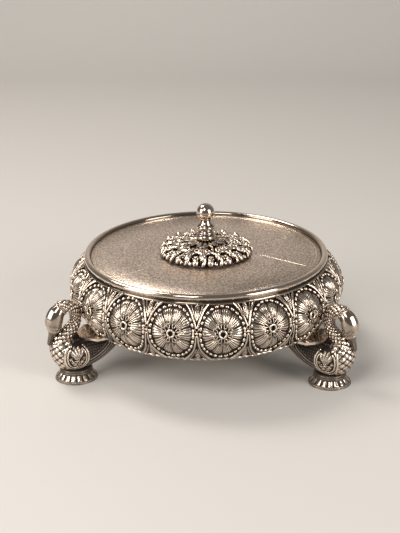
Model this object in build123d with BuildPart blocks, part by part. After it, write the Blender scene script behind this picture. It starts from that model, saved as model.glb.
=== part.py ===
from math import asin, atan2, cos, degrees, pi, radians, sin
import os

from build123d import *

# Round dry fruit box in oxidised nickel silver, on three swan legs.
# Millimetres, +Z up, origin on the box's axis at the level where the feet stand.
# The back leg is at +Y, and the other two are a third of a turn from it.

# Sheet metal and the play between pieces
sheet = 1.2             # wall, base and lid
liner_sheet = 0.8       # inner pan
lid_play = 0.5          # radial play of the lid inside the rim
ring_play = 0.5         # radial play of the lid's ring inside the pan
solder_gap = 0.3        # between the base plate and the wall round it

# Embossed wall
belly_radius = 115.0
belly_height = 62.5
lower_bend = 20.0       # radius of the wall's bend under the belly
upper_bend = 26.0       # radius of the wall's bend over the belly
lower_turn = 33.0       # degrees that the wall turns in under the belly
wall_top = 85.9
wall_sides = 54         # the wall is hammered in narrow flats, three to a rosette
border_width = 2.6      # along the wall
border_thickness = 1.5

# Rosettes raised on the wall
rosette_count = 18
petal_count = 10
rosette_height = 66.0   # level of the eye
petal_half_width = 15.3
petal_reach_up = 17.0
petal_reach_down = 20.5
petal_notch = 0.86      # reach of the notch between two petals, as a share of theirs
petal_relief = 1.5
eye_radius = 3.9
eye_relief = 2.6
eye_hole_radius = 1.9
eye_sides = 6

# Rolled rim, with the flat bead under it
rim_radius = 103.2
rim_width = 5.3
rim_height = 3.7
rim_bead_radius = 102.9
rim_bead_width = 6.6
rim_bead_height = 1.9

# Inner pan and its dividers
pan_radius = 94.8       # inside
pan_depth = 46.6        # from the lip's top to the floor's top
lip_play = 0.2          # radial play between the pan's lip and the rim
divider_sheet = 1.0
divider_height = 38.0
divider_play = 0.3

# Lid
lid_ring_thickness = 1.0
lid_ring_depth = 4.0
stud_radius = 2.5
stud_play = 0.2
stud_length = 8.0       # below the lid
filigree_radius = 39.5
filigree_lobes = 16
filigree_lobe_depth = 3.0
filigree_edge = 3.2     # height of the upright edge
filigree_rise = 11.5    # from the lid to the top of the dome
filigree_thickness = 1.8
hub_radius = 7.0
hub_sides = 16
knob_height = 31.8
knob_ball_radius = 7.15
knob_neck_radius = 3.7
knob_bulb_radius = 7.8
knob_sides = 20
washer_radius = 6.0
washer_thickness = 1.0
nut_radius = 4.6        # to the corners
nut_thickness = 4.0
thread_play = 0.05

# Swan legs
leg_angles = {"right": -30.0, "back": 90.0, "left": 210.0}
leg_radius = 121.6      # from the box's axis to the middle of a foot
foot_radius = 17.5
foot_height = 10.0
foot_sides = 16
waist_radius = 12.6
plate_top = 37.5        # the level that the bowl stands on
plate_thickness = 2.0
plate_nose_reach = 119.5
plate_nose_width = 9.0
plate_width = 33.0
plate_tail_reach = 81.0
plate_tail_width = 21.0
wing_swell = 1.3        # how far a wing stands off the body
wing_reach = 122.5
wing_height = 25.5
wing_half_length = 12.5
wing_half_width = 9.5
body_sides = 12
limb_sides = 8
collar_thickness = 3.5
collar_radius = 6.5

# Screws that hold the legs
screw_radius = 1.9
screw_play = 0.25
screw_sides = 8
screw_head_radius = 3.2
screw_head_height = 2.2
screw_grip = 8.0        # length inside the swan's tail
screw_reach = 92.0

# Levels and radii that follow from the values above
base_top = plate_top + sheet
plate_bottom = plate_top - plate_thickness
bead_top = wall_top + rim_bead_height
lip_top = bead_top + liner_sheet
pan_floor = lip_top - pan_depth
lid_top = lip_top + sheet
rim_inner_radius = rim_radius - rim_width
lip_radius = rim_inner_radius - lip_play
lid_radius = rim_inner_radius - lid_play

os.makedirs("parts", exist_ok=True)


def save(part, name):
    """Label a finished piece and write it under its own name."""
    part.label = name
    export_step(part, f"parts/{name}.step")


def faceted_solid(rings):
    """A closed solid of flat facets through rings of corners, each with as many corners as the next."""
    facets = [Face(Wire.make_polygon(rings[0])), Face(Wire.make_polygon(rings[-1]))]
    for lower, upper in zip(rings, rings[1:]):
        for corner in range(len(lower)):
            beside = (corner + 1) % len(lower)
            facets.append(Face(Wire.make_polygon([lower[corner], lower[beside], upper[beside]])))
            facets.append(Face(Wire.make_polygon([lower[corner], upper[beside], upper[corner]])))
    return Solid(Shell(facets))


def turned_rings(levels, sides):
    """Rings of corners round the box's axis, from pairs of a radius and a level."""
    angles = [2 * pi * step / sides for step in range(sides)]
    return [[Vector(radius * cos(a), radius * sin(a), level) for a in angles] for radius, level in levels]


# Embossed wall: two bends and a straight taper, in narrow flats

upper_turn = degrees(asin((wall_top - belly_height) / upper_bend))
outer_turns = [upper_turn, upper_turn * 2 / 3, upper_turn / 3, 0, -lower_turn / 2, -lower_turn]
inner_turns = [upper_turn, upper_turn / 2, 0, -lower_turn]


def wall_point(turn, inset):
    """A point of the wall's skin, at a turn in degrees above (+) or under (-) the belly."""
    bend = upper_bend if turn > 0 else lower_bend
    reach = bend - inset
    return (belly_radius - bend + reach * cos(radians(turn)), belly_height + reach * sin(radians(turn)))


def taper_point(level, inset):
    """A point of the wall's straight taper at a level."""
    radius, height = wall_point(-lower_turn, inset)
    return (radius - (height - level) * sin(radians(lower_turn)) / cos(radians(lower_turn)), level)


def wall_levels(turns, inset):
    """The radius and level of each bend line of the wall's skin, from its top down."""
    top_radius = wall_point(upper_turn, inset)[0]
    rest = [wall_point(turn, inset) for turn in turns[1:]]
    return [(top_radius, wall_top)] + rest + [taper_point(plate_top, inset)]


with BuildPart() as wall_skin:
    for radius, level in wall_levels(outer_turns, 0):
        with BuildSketch(Plane.XY.offset(level)):
            RegularPolygon(radius, wall_sides)
    loft(ruled=True)

with BuildPart() as wall_hollow:
    for radius, level in wall_levels(inner_turns, sheet):
        with BuildSketch(Plane.XY.offset(level)):
            RegularPolygon(radius, wall_sides)
    loft(ruled=True)

with BuildPart() as raised_skin:
    for radius, level in wall_levels(outer_turns, -petal_relief):
        with BuildSketch(Plane.XY.offset(level)):
            RegularPolygon(radius, wall_sides)
    loft(ruled=True)


# Rosettes: the wall's own skin, raised and cut to the outline of the petals round a pierced eye

def petal_point(number, share):
    """A point of the petals' outline: a whole number is a notch and a half is a petal's tip."""
    angle = radians(360 * number / petal_count + 90)
    reach = petal_reach_up if sin(angle) > 0 else petal_reach_down
    return (share * petal_half_width * cos(angle), share * reach * sin(angle))


petal_outline = []
for petal in range(petal_count):
    petal_outline.append(petal_point(petal, petal_notch))
    petal_outline.append(petal_point(petal + 0.5, 1.0))

rosette_plane = Plane(origin=(0, 0, rosette_height), x_dir=(0, 1, 0), z_dir=(1, 0, 0))
with BuildPart() as rosette:
    with BuildSketch(rosette_plane):
        with BuildLine():
            Polyline(*petal_outline, close=True)
        make_face()
    extrude(amount=2 * belly_radius)
    add(raised_skin.part, mode=Mode.INTERSECT)
    add(wall_hollow.part, mode=Mode.SUBTRACT)
    with BuildSketch(rosette_plane.offset(belly_radius - sheet / 2)):
        RegularPolygon(eye_radius, eye_sides)
    extrude(amount=sheet / 2 + eye_relief)
    with BuildSketch(rosette_plane.offset(belly_radius + petal_relief / 2)):
        RegularPolygon(eye_hole_radius, eye_sides)
    extrude(amount=2 * eye_relief, mode=Mode.SUBTRACT)

with BuildPart() as bowl_wall:
    add(wall_skin.part)
    add(wall_hollow.part, mode=Mode.SUBTRACT)
    with PolarLocations(0, rosette_count):
        add(rosette.part)
save(bowl_wall.part, "bowl_wall")

# Border wire soldered round the foot of the wall
border_top = plate_top + border_width * cos(radians(lower_turn))
with BuildPart() as border_ring:
    for level in (plate_top, border_top):
        with BuildSketch(Plane.XY.offset(level)):
            RegularPolygon(taper_point(level, 0)[0] + border_thickness, wall_sides)
            RegularPolygon(taper_point(level, 0)[0], wall_sides, mode=Mode.SUBTRACT)
    loft(ruled=True)
save(border_ring.part, "border_ring")

# Base plate, with a hole over each leg for its screw
base_radius = taper_point(plate_top, sheet)[0] - solder_gap
with BuildPart() as base_plate:
    with BuildSketch(Plane.XY.offset(plate_top)):
        RegularPolygon(base_radius, wall_sides)
        with PolarLocations(screw_reach, len(leg_angles), start_angle=leg_angles["back"]):
            RegularPolygon(screw_radius + screw_play, screw_sides, mode=Mode.SUBTRACT)
    extrude(amount=sheet)
save(base_plate.part, "base_plate")

# Rolled rim: a flat bead on the wall, a groove, and the roll that stands round the lid
rim_top = lip_top + rim_height
rim_levels = [
    (rim_bead_radius, wall_top),
    (rim_bead_radius, bead_top),
    (rim_radius - 0.3 * rim_width, lip_top),
    (rim_radius, lip_top + 0.4 * rim_height),
    (rim_radius - 0.2 * rim_width, lip_top + 0.85 * rim_height),
    (rim_radius - 0.6 * rim_width, rim_top),
    (rim_inner_radius, rim_top - 0.35 * rim_height),
]
with BuildPart() as rim_roll:
    add(faceted_solid(turned_rings(rim_levels, wall_sides)))
    with BuildSketch(Plane.XY.offset(wall_top)):
        RegularPolygon(rim_bead_radius - rim_bead_width, wall_sides)
    extrude(amount=rim_top - wall_top, mode=Mode.SUBTRACT)
    with BuildSketch(Plane.XY.offset(bead_top)):
        RegularPolygon(rim_inner_radius, wall_sides)
    extrude(amount=rim_top - bead_top, mode=Mode.SUBTRACT)
save(rim_roll.part, "rim_roll")

# Inner pan: a flat floor, an upright wall and a lip that the lid rests on
with BuildPart() as liner_pan:
    with BuildSketch(Plane.XY.offset(pan_floor - liner_sheet)):
        RegularPolygon(pan_radius + liner_sheet, wall_sides)
    extrude(amount=lip_top - pan_floor + liner_sheet)
    with BuildSketch(Plane.XY.offset(bead_top)):
        RegularPolygon(lip_radius, wall_sides)
    extrude(amount=liner_sheet)
    with BuildSketch(Plane.XY.offset(pan_floor)):
        RegularPolygon(pan_radius, wall_sides)
    extrude(amount=pan_depth, mode=Mode.SUBTRACT)
save(liner_pan.part, "liner_pan")

# Two dividers, half-lapped where they cross, that part the pan into four
divider_length = 2 * (pan_radius - divider_play)
slot_width = divider_sheet + 2 * thread_play
with BuildPart() as divider_long:
    with BuildSketch(Plane.XY.offset(pan_floor)):
        Rectangle(divider_length, divider_sheet)
    extrude(amount=divider_height)
    with BuildSketch(Plane.XY.offset(pan_floor + divider_height / 2)):
        Rectangle(slot_width, 2 * divider_sheet)
    extrude(amount=divider_height, mode=Mode.SUBTRACT)
    top_corners = divider_long.edges().filter_by(Axis.Y).group_by(Axis.Z)[-1].sort_by(Axis.X)
    fillet([top_corners[0], top_corners[-1]], radius=divider_height / 8)
save(divider_long.part, "divider_long")

with BuildPart() as divider_cross:
    with BuildSketch(Plane.XY.offset(pan_floor)):
        Rectangle(divider_sheet, divider_length)
    extrude(amount=divider_height)
    with BuildSketch(Plane.XY.offset(pan_floor)):
        Rectangle(2 * divider_sheet, slot_width)
    extrude(amount=divider_height / 2 + thread_play, mode=Mode.SUBTRACT)
    top_corners = divider_cross.edges().filter_by(Axis.X).group_by(Axis.Z)[-1].sort_by(Axis.Y)
    fillet([top_corners[0], top_corners[-1]], radius=divider_height / 8)
save(divider_cross.part, "divider_cross")

# Lid: a flat disc, and a ring under it that centres it in the pan
with BuildPart() as lid_plate:
    with BuildSketch(Plane.XY.offset(lip_top)):
        Circle(lid_radius)
        RegularPolygon(stud_radius + stud_play, hub_sides, mode=Mode.SUBTRACT)
    extrude(amount=sheet)
save(lid_plate.part, "lid_plate")

with BuildPart() as lid_ring:
    with BuildSketch(Plane.XY.offset(lip_top - lid_ring_depth)):
        RegularPolygon(pan_radius - ring_play, wall_sides)
        RegularPolygon(pan_radius - ring_play - lid_ring_thickness, wall_sides, mode=Mode.SUBTRACT)
    extrude(amount=lid_ring_depth)
save(lid_ring.part, "lid_ring")


# Filigree: a pierced dome with a scalloped edge, and a hub in its middle that carries the knob
dome_radius = filigree_radius - filigree_lobe_depth
dome_levels = [
    (dome_radius, lid_top + filigree_edge),
    (0.86 * dome_radius, lid_top + 0.56 * filigree_rise),
    (0.5 * dome_radius, lid_top + 0.85 * filigree_rise),
    (hub_radius, lid_top + filigree_rise),
]


def leaf(start, end, half_width):
    """A four-cornered leaf lying along +X, for a window in the filigree."""
    middle = (start + end) / 2
    return Polygon((start, 0), (middle, half_width), (end, 0), (middle, -half_width), align=None)


with BuildPart() as filigree_rosette:
    with BuildSketch(Plane.XY.offset(lid_top)):
        RegularPolygon(dome_radius, 2 * filigree_lobes)
        with PolarLocations(dome_radius - filigree_lobe_depth / 2, filigree_lobes):
            RegularPolygon(1.5 * filigree_lobe_depth, 6)
    extrude(amount=filigree_edge)
    add(faceted_solid(turned_rings(dome_levels, 2 * filigree_lobes)))
    # the hollow under the dome
    with BuildSketch(Plane.XY.offset(lid_top)):
        RegularPolygon(dome_radius - filigree_thickness, 2 * filigree_lobes)
    extrude(amount=filigree_edge - filigree_thickness, mode=Mode.SUBTRACT)
    hollow_levels = [(radius - filigree_thickness, level - filigree_thickness) for radius, level in dome_levels]
    add(faceted_solid(turned_rings(hollow_levels, 2 * filigree_lobes)), mode=Mode.SUBTRACT)
    # leaf windows in two rows
    with BuildSketch(Plane.XY.offset(lid_top + filigree_edge / 2)):
        with PolarLocations(0, filigree_lobes):
            leaf(0.6 * dome_radius, 0.9 * dome_radius, 0.07 * dome_radius)
        with PolarLocations(0, filigree_lobes // 2, start_angle=180 / filigree_lobes):
            leaf(0.26 * dome_radius, 0.56 * dome_radius, 0.08 * dome_radius)
    extrude(amount=filigree_rise, mode=Mode.SUBTRACT)
    with BuildSketch(Plane.XY.offset(lid_top)):
        RegularPolygon(hub_radius, hub_sides)
    extrude(amount=filigree_rise)
    with BuildSketch(Plane.XY.offset(lid_top)):
        RegularPolygon(stud_radius + stud_play, hub_sides)
    extrude(amount=filigree_rise, mode=Mode.SUBTRACT)
save(filigree_rosette.part, "filigree_rosette")

# Knob turned from bar, with the stud that clamps the filigree to the lid
knob_base = lid_top + filigree_rise
ball_centre = knob_base + knob_height - knob_ball_radius
knob_levels = [
    (5.2, knob_base),
    (knob_bulb_radius, knob_base + 1.6),
    (knob_bulb_radius, knob_base + 3.6),
    (5.4, knob_base + 5.2),
    (6.2, knob_base + 6.4),
    (4.9, knob_base + 8.2),
    (6.9, knob_base + 10.2),
    (7.4, knob_base + 11.6),
    (6.6, knob_base + 12.9),
    (5.0, knob_base + 14.0),
    (knob_neck_radius, knob_base + 16.8),
]
for turn in (-55, -32, -10, 12, 36, 62):
    ball_reach = knob_ball_radius * cos(radians(turn))
    knob_levels.append((ball_reach, ball_centre + knob_ball_radius * sin(radians(turn))))
knob_levels.append((0.15 * knob_ball_radius, knob_base + knob_height))
with BuildPart() as knob:
    add(faceted_solid(turned_rings(knob_levels, knob_sides)))
    with BuildSketch(Plane.XY.offset(lip_top - stud_length)):
        RegularPolygon(stud_radius, hub_sides)
    extrude(amount=knob_base - lip_top + stud_length)
save(knob.part, "knob")

with BuildPart() as knob_washer:
    with BuildSketch(Plane.XY.offset(lip_top - washer_thickness)):
        RegularPolygon(washer_radius, hub_sides)
        RegularPolygon(stud_radius + stud_play, hub_sides, mode=Mode.SUBTRACT)
    extrude(amount=washer_thickness)
save(knob_washer.part, "knob_washer")

with BuildPart() as knob_nut:
    with BuildSketch(Plane.XY.offset(lip_top - washer_thickness - nut_thickness)):
        RegularPolygon(nut_radius, 6)
        RegularPolygon(stud_radius + thread_play, hub_sides, mode=Mode.SUBTRACT)
    extrude(amount=nut_thickness)
save(knob_nut.part, "knob_nut")


# Swan leg, modelled along +X with x as the distance from the box's axis and z as the height

def oval(half_width, low, high, sides):
    """An oval outline, centred on the swan's middle plane, between two heights."""
    middle = (low + high) / 2
    half_height = (high - low) / 2
    angles = [2 * pi * (step + 0.5) / sides for step in range(sides)]
    return [(half_width * cos(angle), middle + half_height * sin(angle)) for angle in angles]


def body_rings(sections, swell):
    """The corners of the body's skin at each section, grown outwards by swell."""
    rings = []
    for reach, half_width, low, high in sections:
        plane = Plane(origin=(reach, 0, 0), x_dir=(0, 1, 0), z_dir=(1, 0, 0))
        outline = oval(half_width + swell, low - swell, high + swell, body_sides)
        rings.append([plane.from_local_coords(point) for point in outline])
    return rings


# Distance from the axis, half width, underside and top of the body, from the breast to the tail
body_sections = [
    (143.6, 3.2, 24.5, 30.5),
    (141.6, 8.6, 18.8, 35.0),
    (137.4, 12.8, 12.8, 38.4),
    (131.0, 15.0, 9.4, 40.0),
    (123.0, 15.8, 8.4, 40.2),
    (115.0, 15.6, 9.2, 39.6),
    (107.5, 15.2, 11.4, 39.0),
    (101.0, 14.8, 14.6, 39.0),
    (94.5, 14.0, 18.8, 39.0),
    (88.0, 12.4, 24.4, 39.0),
    (82.5, 9.6, 31.0, 39.0),
]
# Room over the tail for the tail plate and the bowl
with BuildPart() as tail_seat:
    with BuildSketch(Plane.XY.offset(plate_bottom)):
        with Locations((plate_nose_reach - belly_radius / 2, 0)):
            Rectangle(belly_radius, 4 * foot_radius)
    extrude(amount=belly_height)
with BuildPart() as swan_core:
    add(faceted_solid(body_rings(body_sections, 0)))
    # flat seat on the foot
    with BuildSketch(Plane.XY):
        with Locations((leg_radius, 0)):
            Rectangle(4 * foot_radius, 4 * foot_radius)
    extrude(amount=foot_height, mode=Mode.SUBTRACT)
    add(tail_seat.part, mode=Mode.SUBTRACT)
with BuildPart() as swan_body:
    add(swan_core.part)
    with BuildSketch(Plane.XY.offset(plate_bottom - screw_grip)):
        with Locations((screw_reach, 0)):
            RegularPolygon(screw_radius + thread_play, screw_sides)
    extrude(amount=2 * screw_grip, mode=Mode.SUBTRACT)

foot_levels = [
    (foot_radius, 0),
    (foot_radius, 0.18 * foot_height),
    (0.94 * foot_radius, 0.3 * foot_height),
    (waist_radius, 0.66 * foot_height),
    (waist_radius + 1.0, 0.76 * foot_height),
    (waist_radius - 0.4, foot_height),
]
with BuildPart() as swan_foot:
    with Locations((leg_radius, 0)):
        add(faceted_solid(turned_rings(foot_levels, foot_sides)))

with BuildPart() as swan_tail_plate:
    with BuildSketch(Plane.XY.offset(plate_bottom)):
        with BuildLine():
            nose = plate_nose_width / 2
            side = plate_width / 2
            tail = plate_tail_width / 2
            shoulder = plate_nose_reach - (side - nose)
            Polyline(
                (plate_nose_reach, -nose),
                (plate_nose_reach, nose),
                (shoulder, side),
                (shoulder - plate_width / 3, side),
                (plate_tail_reach, tail),
                (plate_tail_reach, -tail),
                (shoulder - plate_width / 3, -side),
                (shoulder, -side),
                close=True,
            )
        make_face()
        with Locations((screw_reach, 0)):
            RegularPolygon(screw_radius + screw_play, screw_sides, mode=Mode.SUBTRACT)
    extrude(amount=plate_thickness)

# Wings: the body's own skin, grown a little and cut to an oval on each side
wing_angles = [2 * pi * step / body_sides for step in range(body_sides)]
wing_outline = [(wing_half_width * cos(a), wing_half_length * sin(a)) for a in wing_angles]
with BuildPart() as wing_pair:
    add(faceted_solid(body_rings(body_sections[1:-1], wing_swell)))
    with BuildSketch(Plane.XZ.offset(-2 * foot_radius)):
        with Locations((wing_reach, wing_height)):
            Polygon(*wing_outline)
    extrude(amount=4 * foot_radius, mode=Mode.INTERSECT)
    add(swan_core.part, mode=Mode.SUBTRACT)
    add(tail_seat.part, mode=Mode.SUBTRACT)

# Neck, from inside the breast back over the body and forward to the collar:
# distance, height, half thickness, half width and slope in degrees
collar_centre = (131.3, 64.1)
collar_slope = -38.5    # degrees, the way that the collar faces
collar_way = (cos(radians(collar_slope)), sin(radians(collar_slope)))
half_collar = collar_thickness / 2
neck_end = (collar_centre[0] - half_collar * collar_way[0], collar_centre[1] - half_collar * collar_way[1])
head_start = (collar_centre[0] + half_collar * collar_way[0], collar_centre[1] + half_collar * collar_way[1])
neck_sections = [
    (137.0, 32.5, 6.4, 7.6, 128),
    (133.2, 37.6, 6.2, 7.2, 136),
    (127.6, 41.7, 5.5, 6.4, 143),
    (123.0, 46.0, 4.8, 5.7, 128),
    (120.3, 50.8, 4.4, 5.2, 100),
    (120.2, 55.8, 4.4, 5.2, 76),
    (121.4, 60.2, 4.9, 5.4, 48),
    (124.3, 63.4, 5.3, 5.6, 0),
    (neck_end[0], neck_end[1], 5.8, 6.0, collar_slope),
]
# Head and bill, from the collar down to the bill's tip in front of the breast
head_sections = [
    (head_start[0], head_start[1], 5.8, 6.0, collar_slope),
    (136.3, 60.0, 6.9, 7.1, -54),
    (138.7, 54.6, 7.5, 7.5, -73),
    (139.5, 49.2, 6.4, 6.6, -80),
    (140.5, 44.8, 4.2, 4.8, -73),
    (142.0, 41.2, 2.6, 3.8, -67),
    (143.6, 37.4, 1.9, 3.4, -70),
    (144.9, 33.4, 1.2, 2.4, -72),
]


def limb_rings(sections):
    """The corners round a limb at each section, square to the section's slope."""
    rings = []
    for reach, height, half_thickness, half_width, slope in sections:
        way = (cos(radians(slope)), 0, sin(radians(slope)))
        plane = Plane(origin=(reach, 0, height), x_dir=(0, 1, 0), z_dir=way)
        outline = oval(half_width, -half_thickness, half_thickness, limb_sides)
        rings.append([plane.from_local_coords(point) for point in outline])
    return rings


with BuildPart() as swan_neck:
    add(faceted_solid(limb_rings(neck_sections)))
    add(swan_core.part, mode=Mode.SUBTRACT)

with BuildPart() as swan_head:
    add(faceted_solid(limb_rings(head_sections)))

collar_plane = Plane(
    origin=(neck_end[0], 0, neck_end[1]), x_dir=(0, 1, 0), z_dir=(collar_way[0], 0, collar_way[1])
)
with BuildPart() as swan_collar:
    with BuildSketch(collar_plane):
        RegularPolygon(collar_radius, body_sides)
    extrude(amount=collar_thickness)

wings = wing_pair.solids().sort_by(Axis.Y)
swan_pieces = {
    "foot": swan_foot.part,
    "body": swan_body.part,
    "neck": swan_neck.part,
    "collar": swan_collar.part,
    "head": swan_head.part,
    "wing_right": wings[0],
    "wing_left": wings[-1],
    "tail_plate": swan_tail_plate.part,
}
for leg, angle in leg_angles.items():
    for piece, part in swan_pieces.items():
        save(part.rotate(Axis.Z, angle), f"{leg}_swan_{piece}")

# Screws, one through the base plate and tail plate into each swan's tail
with BuildPart() as leg_screws:
    with BuildSketch(Plane.XY.offset(plate_bottom - screw_grip)):
        with PolarLocations(screw_reach, len(leg_angles), start_angle=leg_angles["back"]):
            RegularPolygon(screw_radius, screw_sides)
    extrude(amount=base_top - plate_bottom + screw_grip)
    with BuildSketch(Plane.XY.offset(base_top)):
        with PolarLocations(screw_reach, len(leg_angles), start_angle=leg_angles["back"]):
            RegularPolygon(screw_head_radius, screw_sides)
    extrude(amount=screw_head_height)
save(leg_screws.part, "leg_screws")
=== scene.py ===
"""Looks of the round dry fruit box: embossed wall, pierced rosette, knob and swan legs.

Sizes inside the builders are millimetres; a finished mesh is brought to metres.
"""

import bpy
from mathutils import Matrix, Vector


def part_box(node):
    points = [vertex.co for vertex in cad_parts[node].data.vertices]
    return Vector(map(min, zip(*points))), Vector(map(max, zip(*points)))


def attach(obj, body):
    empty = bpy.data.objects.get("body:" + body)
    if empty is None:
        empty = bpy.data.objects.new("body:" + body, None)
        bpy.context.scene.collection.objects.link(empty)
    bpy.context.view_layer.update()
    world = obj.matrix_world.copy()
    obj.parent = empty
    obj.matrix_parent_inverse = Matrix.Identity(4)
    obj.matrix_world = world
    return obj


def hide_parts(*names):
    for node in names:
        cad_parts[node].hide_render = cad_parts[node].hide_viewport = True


bl_info = {
    "name": "Dry Fruit Box",
    "version": (1, 0, 0),
    "blender": (4, 5, 0),
    "location": "View3D > Sidebar > Dry Fruit Box",
    "description": "Builds the embossed box, its lid and its swan legs over the packed frame",
    "category": "Add Mesh",
}

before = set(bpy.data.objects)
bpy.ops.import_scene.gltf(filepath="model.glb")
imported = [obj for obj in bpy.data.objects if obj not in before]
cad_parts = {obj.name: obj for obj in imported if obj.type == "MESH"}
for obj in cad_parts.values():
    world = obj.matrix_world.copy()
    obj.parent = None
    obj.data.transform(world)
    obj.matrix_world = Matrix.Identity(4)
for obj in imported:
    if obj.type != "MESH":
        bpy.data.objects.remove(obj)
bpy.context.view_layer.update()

from math import asin, atan2, cos, exp, hypot, pi, radians, sin
from random import Random

import bmesh
import bpy
from mathutils import Matrix, Vector

# The way each leg faces, in degrees round the box's axis
LEGS = {"right": -30.0, "back": 90.0, "left": 210.0}
UP = Vector((0, 0, 1))


# Sizes and colours that the sidebar shows

def length(name, description, millimetres):
    """A length property, held in metres and given in millimetres."""
    return bpy.props.FloatProperty(
        name=name, description=description, default=millimetres / 1000, unit="LENGTH", subtype="DISTANCE"
    )


def colour(name, description, default):
    """A colour property."""
    return bpy.props.FloatVectorProperty(
        name=name, description=description, default=default, size=3, min=0.0, max=1.0, subtype="COLOR"
    )


class DryFruitBoxSizes(bpy.types.PropertyGroup):
    """Main sizes of the box."""

    belly_radius: length("Belly radius", "Greatest radius of the wall's skin", 115.0)
    belly_level: length("Belly level", "Height of the wall's greatest radius", 62.5)
    upper_bend: length("Upper bend", "Radius of the wall's bend over the belly", 26.0)
    lower_bend: length("Lower bend", "Radius of the wall's bend under the belly", 20.0)
    rosette_width: length("Rosette half width", "From a rosette's eye to its bead ring, sideways", 17.3)
    bead_size: length("Bead size", "Half width of a bead round a rosette", 1.15)
    filigree_radius: length("Filigree radius", "Outer radius of the pierced rosette on the lid", 39.5)
    leg_radius: length("Leg radius", "From the box's axis to the middle of a foot", 121.6)


class DryFruitBoxColours(bpy.types.PropertyGroup):
    """Colours of the metal and of the studio."""

    bright: colour("Worn silver", "Raised, polished places", (0.93, 0.785, 0.655))
    # The patina colour also serves for painted shade: in the rim's groove, under the swans' heads, at the
    # petals' edges and in the dark dome under the pierced rosette.
    dark: colour("Patina", "Blackened recesses", (0.016, 0.010, 0.007))
    sheet: colour("Lid sheet", "Stippled field of the lid", (0.64, 0.535, 0.465))
    plain: colour("Plain silver", "Inner pan and dividers", (0.70, 0.645, 0.585))
    steel: colour("Steel", "Screws, washer and nut", (0.52, 0.52, 0.53))
    floor: colour("Floor", "Floor and backdrop", (0.60, 0.58, 0.555))


# Shader nodes

class Value:
    """A number in a shader, which ordinary arithmetic turns into more nodes."""

    def __init__(self, tree, socket):
        self.tree = tree
        self.socket = socket

    def combine(self, operation, first, second):
        """A new value from two values or numbers."""
        node = self.tree.nodes.new("ShaderNodeMath")
        node.operation = operation
        for slot, term in zip(node.inputs, (first, second)):
            if isinstance(term, Value):
                self.tree.links.new(term.socket, slot)
            else:
                slot.default_value = term
        return Value(self.tree, node.outputs[0])

    def __add__(self, other):
        return self.combine("ADD", self, other)

    __radd__ = __add__

    def __sub__(self, other):
        return self.combine("SUBTRACT", self, other)

    def __rsub__(self, other):
        return self.combine("SUBTRACT", other, self)

    def __mul__(self, other):
        return self.combine("MULTIPLY", self, other)

    __rmul__ = __mul__

    def __pow__(self, other):
        return self.combine("POWER", self, other)

    def clipped(self):
        """The value held between 0 and 1."""
        return self.combine("MAXIMUM", self.combine("MINIMUM", self, 1.0), 0.0)


class Finish:
    """One material, built node by node."""

    def __init__(self, name):
        self.material = bpy.data.materials.new(name)
        self.material.use_nodes = True
        self.tree = self.material.node_tree
        self.shader = self.tree.nodes["Principled BSDF"]
        self.place = self.node("ShaderNodeTexCoord").outputs["Object"]

    def node(self, kind, settings=None, inputs=None):
        """A node of any kind, with its settings, and its inputs given as numbers, values or sockets."""
        node = self.tree.nodes.new(kind)
        for key, setting in (settings or {}).items():
            setattr(node, key, setting)
        for key, given in (inputs or {}).items():
            if isinstance(given, Value):
                given = given.socket
            if isinstance(given, bpy.types.NodeSocket):
                self.tree.links.new(given, node.inputs[key])
            else:
                node.inputs[key].default_value = given
        return node

    def noise(self, scale, detail=3.0, rough=0.5):
        """Noise over the surface, at a scale in cells to the metre."""
        inputs = {"Vector": self.place, "Scale": scale, "Detail": detail, "Roughness": rough}
        return Value(self.tree, self.node("ShaderNodeTexNoise", None, inputs).outputs["Fac"])

    def cells(self, scale):
        """Distance to the nearest cell's middle, at a scale in cells to the metre."""
        node = self.node("ShaderNodeTexVoronoi", None, {"Vector": self.place, "Scale": scale})
        return Value(self.tree, node.outputs["Distance"])

    def wear(self):
        """How far the metal is rubbed bright: nought in a black recess, one on a ridge; on the rim, under the
        swans' heads and at the petals' edges the corners also hold painted shade.
        """
        node = self.node("ShaderNodeAttribute", {"attribute_name": "wear"})
        return Value(self.tree, node.outputs["Fac"])

    def facing(self):
        """How far the surface turns from the eye: nought face on, one at its outline."""
        node = self.node("ShaderNodeLayerWeight", None, {"Blend": 0.5})
        return Value(self.tree, node.outputs["Facing"])

    def mixed(self, share, low, high):
        """A colour between two colours, or a colour's socket."""
        node = self.node("ShaderNodeMix", {"data_type": "RGBA"}, {"Factor": share})
        for index, shade in ((6, low), (7, high)):
            if isinstance(shade, bpy.types.NodeSocket):
                self.tree.links.new(shade, node.inputs[index])
            else:
                node.inputs[index].default_value = (*shade, 1.0)
        return node.outputs[2]

    def feed(self, name, given):
        """Link a value or a socket to the shader, or set a number there."""
        if isinstance(given, Value):
            given = given.socket
        if isinstance(given, bpy.types.NodeSocket):
            self.tree.links.new(given, self.shader.inputs[name])
        else:
            self.shader.inputs[name].default_value = given

    def bump(self, height, depth):
        """Fine unevenness of the surface, with its depth in millimetres."""
        inputs = {"Strength": 1.0, "Distance": depth / 1000, "Height": height}
        self.feed("Normal", self.node("ShaderNodeBump", None, inputs).outputs["Normal"])


def dimmed(shade, share):
    """A colour at a share of its brightness."""
    return [share * part for part in shade]


def oxidised(name, colours, rough=0.15, shine=1.0):
    """Silver that is black in its recesses and rubbed bright on its ridges; shine dims the ridges."""
    finish = Finish(name)
    grime = finish.noise(480, 4.0, 0.65)
    wear = (finish.wear() * (grime * 0.8 + 0.72) - 0.10).clipped()
    tint = dimmed(colours.bright, shine)
    tint = finish.mixed(finish.noise(120), tint, dimmed(tint, 0.82))
    finish.feed("Base Color", finish.mixed(wear ** 1.7, colours.dark, tint))
    finish.feed("Metallic", wear * 0.5 + 0.5)
    finish.feed("Roughness", (1.0 - wear) * 0.3 + rough + (finish.noise(900) - 0.5) * 0.1)
    finish.bump(finish.noise(1100, 2.0), 0.08)
    return finish.material


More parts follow.
